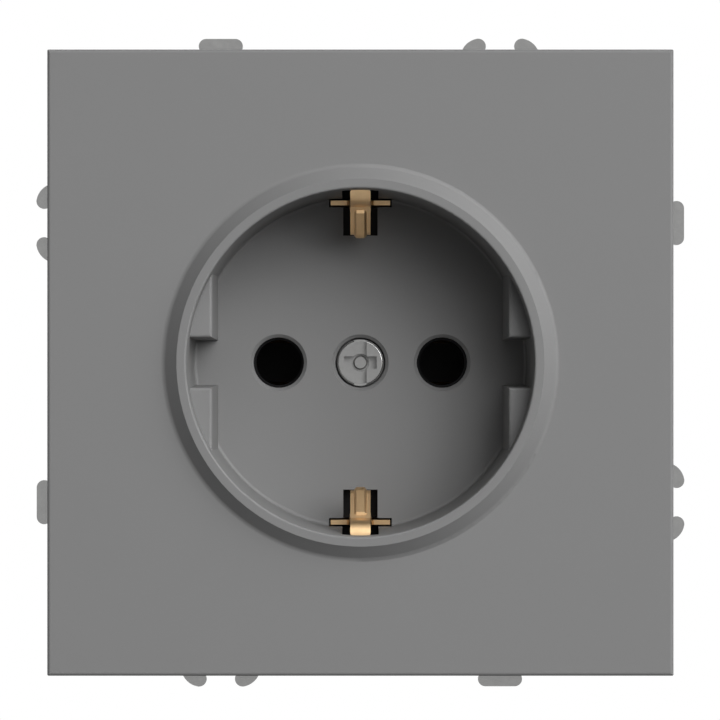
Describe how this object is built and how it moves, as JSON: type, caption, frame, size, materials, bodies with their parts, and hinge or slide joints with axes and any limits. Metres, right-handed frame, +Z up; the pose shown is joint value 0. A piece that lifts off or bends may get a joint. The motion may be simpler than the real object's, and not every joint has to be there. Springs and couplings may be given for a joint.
{
  "type": "wall socket",
  "caption": "Flush-mounted earthed wall socket with a square grey central plate, round plug recess with side earth springs, steel support ring, spreading claws and push-in terminals.",
  "frame": {"origin": "on the socket's axis in the wall's surface, where the back of the support ring rests", "axes": "+X to the right as seen from the room, +Y into the wall, +Z up"},
  "size_m": [0.0742, 0.0428, 0.0742],
  "materials": {
    "grey_plastic": "fine satin grain",
    "black_plastic": "moulded satin",
    "zinc_sheet": "zinc plated sheet",
    "zinc_screw": "bright zinc plate",
    "earth_brass": "rolled strip",
    "contact_bronze": "rolled strip",
    "spring_steel": "rolled strip",
    "pole_button": "moulded satin",
    "earth_button": "moulded satin"
  },
  "bodies": {
    "socket": {"cover_plate": "grey_plastic", "centre_screw": "zinc_screw", "earth_bracket": "earth_brass", "support_ring": "zinc_sheet", "socket_base": "black_plastic", "rear_cover": "black_plastic", "rear_cover_screws": "zinc_screw", "ring_rivets": "zinc_screw", "live_contact": "contact_bronze", "neutral_contact": "contact_bronze", "live_clamp_spring": "spring_steel", "neutral_clamp_spring": "spring_steel", "earth_clamp_spring": "spring_steel"},
    "live_release_button_body": {"live_release_button": "pole_button"},
    "neutral_release_button_body": {"neutral_release_button": "pole_button"},
    "earth_release_button_body": {"earth_release_button": "earth_button"},
    "right_claw_body": {"right_claw": "zinc_sheet"},
    "left_claw_body": {"left_claw": "zinc_sheet"},
    "right_claw_screw_body": {"right_claw_screw": "zinc_screw"},
    "left_claw_screw_body": {"left_claw_screw": "zinc_screw"},
    "right_claw_nut_body": {"right_claw_nut": "zinc_screw"},
    "left_claw_nut_body": {"left_claw_nut": "zinc_screw"}
  },
  "joints": [
    {"name": "right_claw_screw_turn", "type": "hinge", "parent": "socket", "child": "right_claw_screw_body", "pos_m": [0.02429, -0.001, -0.00981], "axis": [0, 1, 0], "range_deg": [0, 2092.68]},
    {"name": "right_claw_swing", "type": "hinge", "parent": "socket", "child": "right_claw_body", "pos_m": [0.02095, 0.0022, -0.00847], "axis": [-0.3746, 0, -0.9272], "range_deg": [0, 25]},
    {"name": "right_claw_nut_travel", "type": "slide", "parent": "socket", "child": "right_claw_nut_body", "axis": [0, -1, 0], "range_m": [0, 0.00291]},
    {"name": "left_claw_screw_turn", "type": "hinge", "parent": "socket", "child": "left_claw_screw_body", "pos_m": [-0.02429, -0.001, 0.00981], "axis": [0, 1, 0], "range_deg": [0, 2092.68]},
    {"name": "left_claw_swing", "type": "hinge", "parent": "socket", "child": "left_claw_body", "pos_m": [-0.02095, 0.0022, 0.00847], "axis": [0.3746, 0, 0.9272], "range_deg": [0, 25]},
    {"name": "left_claw_nut_travel", "type": "slide", "parent": "socket", "child": "left_claw_nut_body", "axis": [0, -1, 0], "range_m": [0, 0.00291]},
    {"name": "live_release_press", "type": "slide", "parent": "socket", "child": "live_release_button_body", "axis": [0, -1, 0], "range_m": [0, 0.0015], "stiffness_N_per_m": 1000, "deforming": ["live_clamp_spring"]},
    {"name": "neutral_release_press", "type": "slide", "parent": "socket", "child": "neutral_release_button_body", "axis": [0, -1, 0], "range_m": [0, 0.0015], "stiffness_N_per_m": 1000, "deforming": ["neutral_clamp_spring"]},
    {"name": "earth_release_press", "type": "slide", "parent": "socket", "child": "earth_release_button_body", "axis": [0, -1, 0], "range_m": [0, 0.0015], "stiffness_N_per_m": 1000, "deforming": ["earth_clamp_spring"]}
  ],
  "couplings": [
    {"joint": "right_claw_screw_turn", "follows": "right_claw_nut_travel", "rad_per_m": 12566},
    {"joint": "right_claw_swing", "follows": "right_claw_nut_travel", "rad_per_m": 150.12},
    {"joint": "left_claw_screw_turn", "follows": "left_claw_nut_travel", "rad_per_m": 12566},
    {"joint": "left_claw_swing", "follows": "left_claw_nut_travel", "rad_per_m": 150.12}
  ]
}
